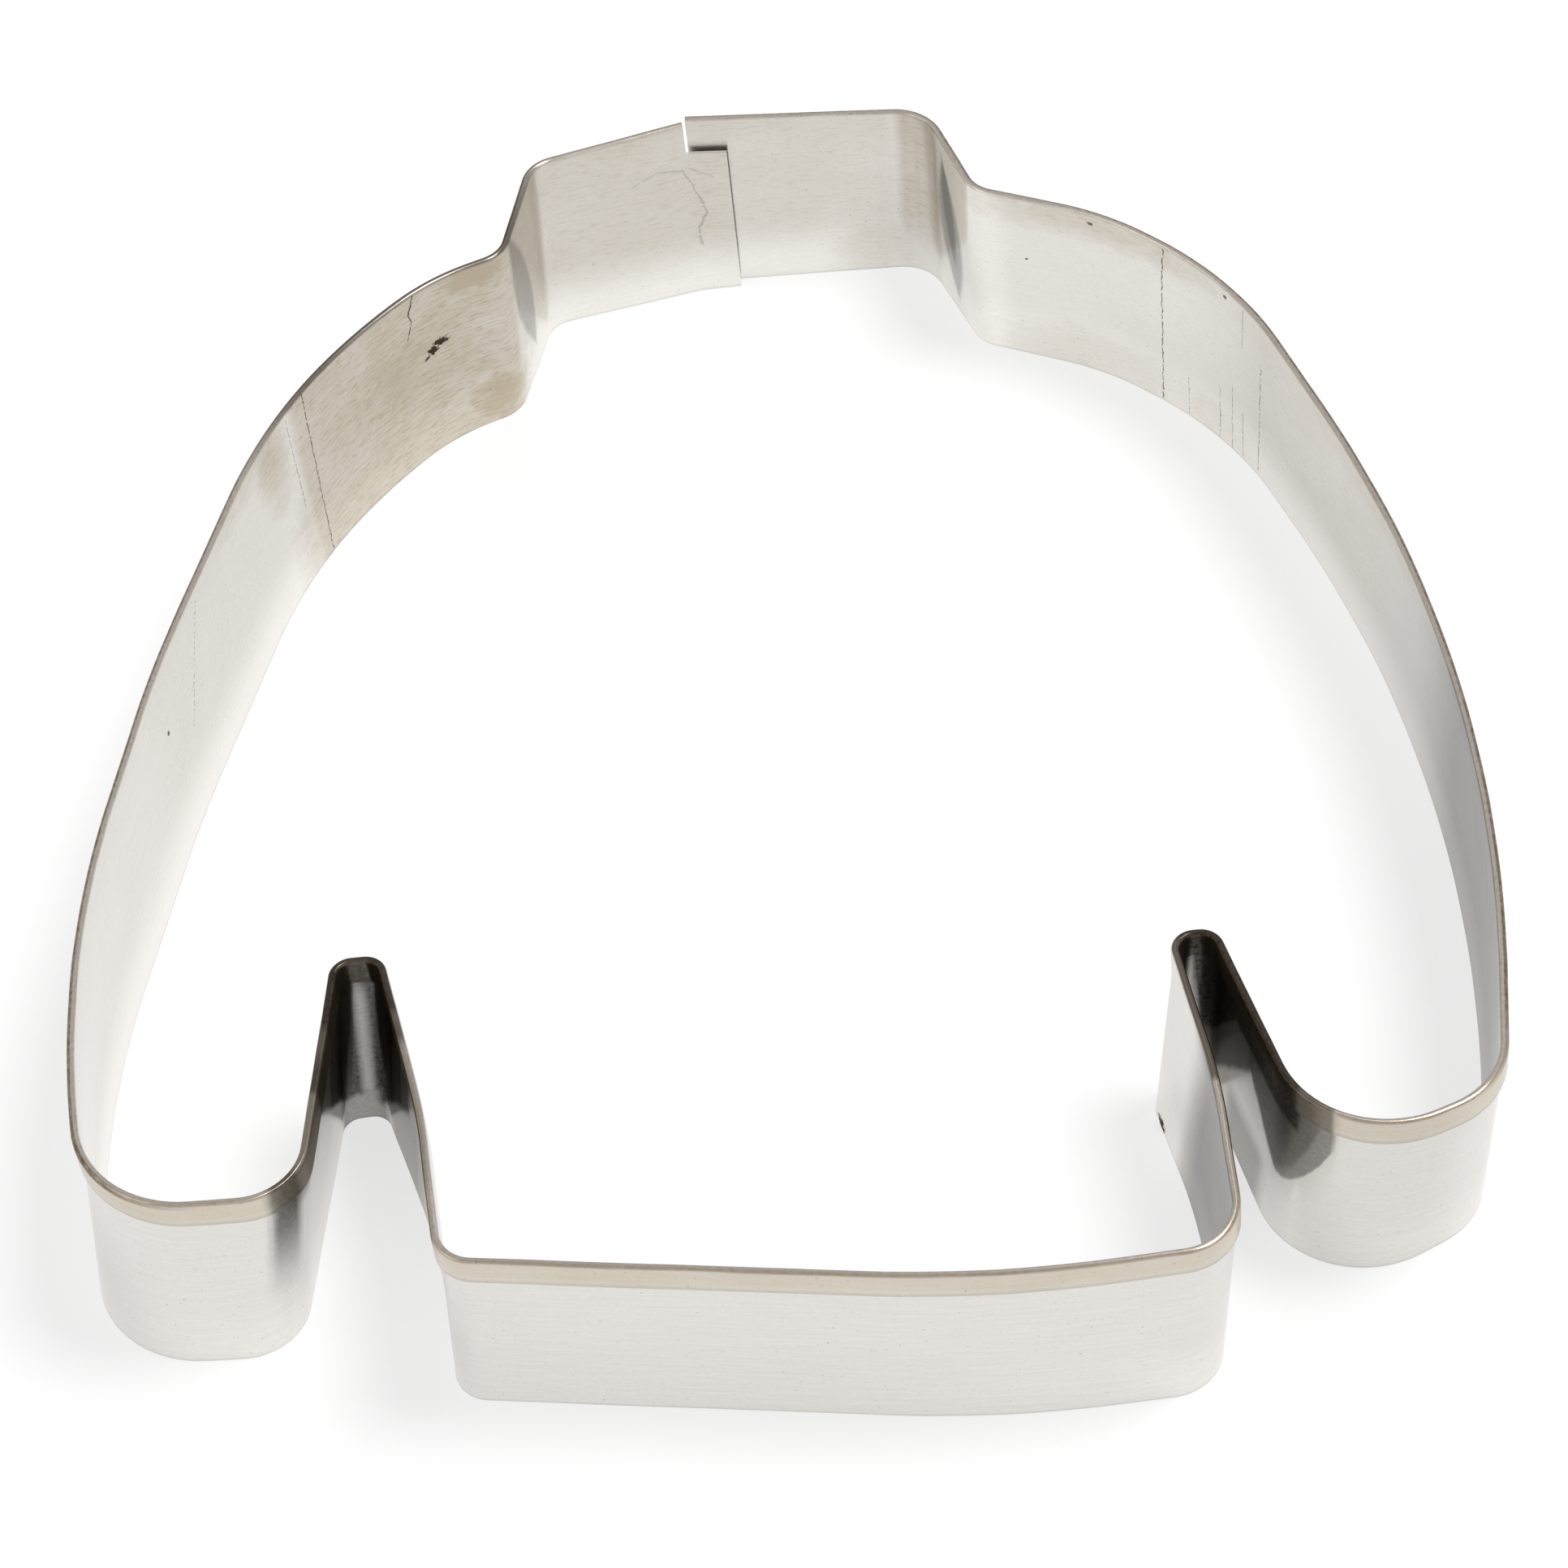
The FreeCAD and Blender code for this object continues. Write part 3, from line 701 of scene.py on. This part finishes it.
def tinnedSteel():
    paint = StripPaint("tinnedSteel")
    hemSide = paint.step(paint.across, 0.34, 0.42)
    grain, mottle = paint.noise("grain"), paint.noise("mottle")
    speckle = paint.noise("speckle")
    pepper = paint.step(paint.noise("pepper"), 0.70, 0.78)
    paintedFootLight = paint.line("paintedFootLight")

    warm, dull = tarnishAndShadeOf(paint, mottle, grain, paintedFootLight)
    colour = paint.mixColour(warm, tin["clean"], tin["tarnish"])
    hemTan = hemSide * (0.86 + (mottle - 0.5) * 0.5 - paint.line("hemLow") * 0.25)
    colour = paint.mixColour(hemTan, colour, tin["hemTan"])

    # brown along the fold, partly the tin's tint and partly painted shade: pale at the front, a
    # thin dark line of painted shade on the outer edge at the back
    back = 1.0 - paint.within(paint.length, *tin["front"])
    outerEdgeShade = paint.step(paint.across, 0.28, 0.44) * paint.line("foldOuter")
    fold = paint.line("foldTop", mottle * 0.2) * (0.40 + speckle * 0.36)
    rimTintShadeLine = fold.highest(outerEdgeShade * back * (0.42 + speckle * 0.75))
    colour = paint.mixColour(rimTintShadeLine, colour, tin["rimTintAndShade"])

    # painted light: the tin lighter towards the foot; grain and speckle are the tin's own
    shade = (0.92 + grain * 0.16) * (0.965 + speckle * 0.07) * (1.0 + paintedFootLight * 0.06)
    # painted shade and light: stretches of the cookie side darker or lighter where they mirror the
    # floor
    shade = shade * (1.0 - paint.cookieSide * (dull - paintedFootLight * 0.08)) * (1.0 - pepper * 0.30)
    # painted shadow: soft grey lines under the hem's edge on the wall; along the foot a thin grey
    # line, partly the cut edge and partly painted contact shadow
    hemEdgeShadow = paint.line("hemBelow") * paint.line("hemAbove")
    shade = shade * (1.0 - paint.outerSide * hemEdgeShadow * 0.16)
    shade = shade * (1.0 - paint.line("footEdgeAndShadow") * 0.14)
    tone = paint.node("ShaderNodeCombineColor", None, {0: shade, 1: shade, 2: shade})
    colour = paint.mixColour(1.0, colour, tone, "MULTIPLY")
    marks = marksOf(paint)
    colour = paint.mixColour(marks, colour, tin["stain"])

    fine = paint.node("ShaderNodeBump", None,
                      {"Strength": 0.10, "Distance": 0.00002, "Height": grain})
    roughness = tin["roughness"] + (mottle - 0.5) * 0.06 + warm * 0.06
    metal = paint.node("ShaderNodeBsdfPrincipled", None, {
        "Base Color": colour,
        "Metallic": 1.0,
        "Roughness": roughness + marks * 0.3,
        "Anisotropic": tin["anisotropy"],
        "Anisotropic Rotation": tin["turn"],
        "Normal": fine,
    })
    # painted shade: a near-black shader mixed in where a notch mirrors its dark walls, and over the
    # fold's outer edge at the back and its top
    dark = paint.node("ShaderNodeBsdfDiffuse", None, {"Color": tin["shadow"]})
    depth = paintedNotchReflections(paint, speckle)
    depth = depth.highest(outerEdgeShade * back * (0.08 + speckle * 0.34))
    shoulder = paint.within(paint.length, *tin["shoulder"])
    depth = depth.highest(paint.line("foldTopShade") * (shoulder * 0.60 + 0.12))
    return paint.finish(paint.node("ShaderNodeMixShader", None, {0: depth, 1: metal, 2: dark}))


def backgroundRay(tree):
    # 1 for the rays that show the plain white background
    path = tree.nodes.new("ShaderNodeLightPath")
    camera, glossy, through = (Wire(tree, path.outputs[name]) for name in
                               ("Is Camera Ray", "Is Glossy Ray", "Is Transmission Ray"))
    return (camera + glossy + through).lowest(1.0)


table = {
    "colour": (0.93, 0.93, 0.93, 1.0),
    "white": (1.0, 1.0, 1.0, 1.0),
    "glow": 0.70,      # how much of the plain white background the floor shows
}


def tableTop():
    paint = Paint("tableTop")
    cloth = paint.node("ShaderNodeBsdfDiffuse", None, {"Color": table["colour"]})
    white = paint.node("ShaderNodeEmission", None, {"Color": table["white"], "Strength": 1.0})
    glow = backgroundRay(paint.tree) * table["glow"]
    shader = paint.node("ShaderNodeMixShader", None, {0: glow, 1: cloth, 2: white})
    return paint.finish(shader)


studio = {
    "floorRadius": 4.0,
    "camera": (0.01993, -0.27694, 0.3240),
    "heading": 4.202, "pitch": 49.33, "roll": 6.93, "lens": 111.75,
    "skyColour": (1.0, 1.0, 1.0, 1.0), "skyStrength": 0.42,
    # place, aim, size, power
    "keyLight": ((0.46, 0.05, 1.12), (0.0, 0.0, 0.0), 0.40, 10.5),
    "fillLight": ((-1.0, -0.3, 0.9), (0.0, 0.0, 0.0), 1.0, 2.0),
}


def buildStage():
    bpy.ops.mesh.primitive_circle_add(vertices=96, radius=studio["floorRadius"],
                                      fill_type="NGON", location=(0, 0, -0.00001))
    floor = bpy.context.object
    floor.name = "tableTop"
    floor.data.materials.append(tableTop())


def buildLights():
    world = bpy.data.worlds.new("studioRoom")
    bpy.context.scene.world = world
    world.use_nodes = True
    sky = world.node_tree.nodes["Background"]
    sky.inputs["Color"].default_value = studio["skyColour"]
    dim = studio["skyStrength"]
    plug(world.node_tree, sky.inputs["Strength"],
         backgroundRay(world.node_tree) * (1.0 - dim) + dim)
    for name in ("keyLight", "fillLight"):
        place, aim, size, power = studio[name]
        lamp = bpy.data.lights.new(name, "AREA")
        lamp.shape = "DISK"
        lamp.size = size
        lamp.energy = power
        holder = bpy.data.objects.new(name, lamp)
        bpy.context.scene.collection.objects.link(holder)
        holder.location = place
        towards = Vector(aim) - Vector(place)
        holder.rotation_euler = towards.to_track_quat("-Z", "Y").to_euler()


def buildCamera():
    camera = bpy.data.cameras.new("photoCamera")
    camera.lens = studio["lens"]
    camera.sensor_width = 36.0
    camera.clip_start = 0.01
    holder = bpy.data.objects.new("photoCamera", camera)
    bpy.context.scene.collection.objects.link(holder)
    turn = (Matrix.Rotation(math.radians(studio["heading"]), 4, "Z")
            @ Matrix.Rotation(math.radians(90 - studio["pitch"]), 4, "X")
            @ Matrix.Rotation(math.radians(-studio["roll"]), 4, "Z"))
    holder.matrix_world = Matrix.Translation(studio["camera"]) @ turn
    bpy.context.scene.camera = holder
    bpy.context.scene.view_settings.view_transform = "Standard"


buildStage()
buildLights()
buildCamera()
print("stage, light and camera ready")

steel = tinnedSteel()
band = buildBand(steel)
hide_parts("cutter_band")
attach(band, "root")
print(band.name, len(band.data.polygons), "faces")
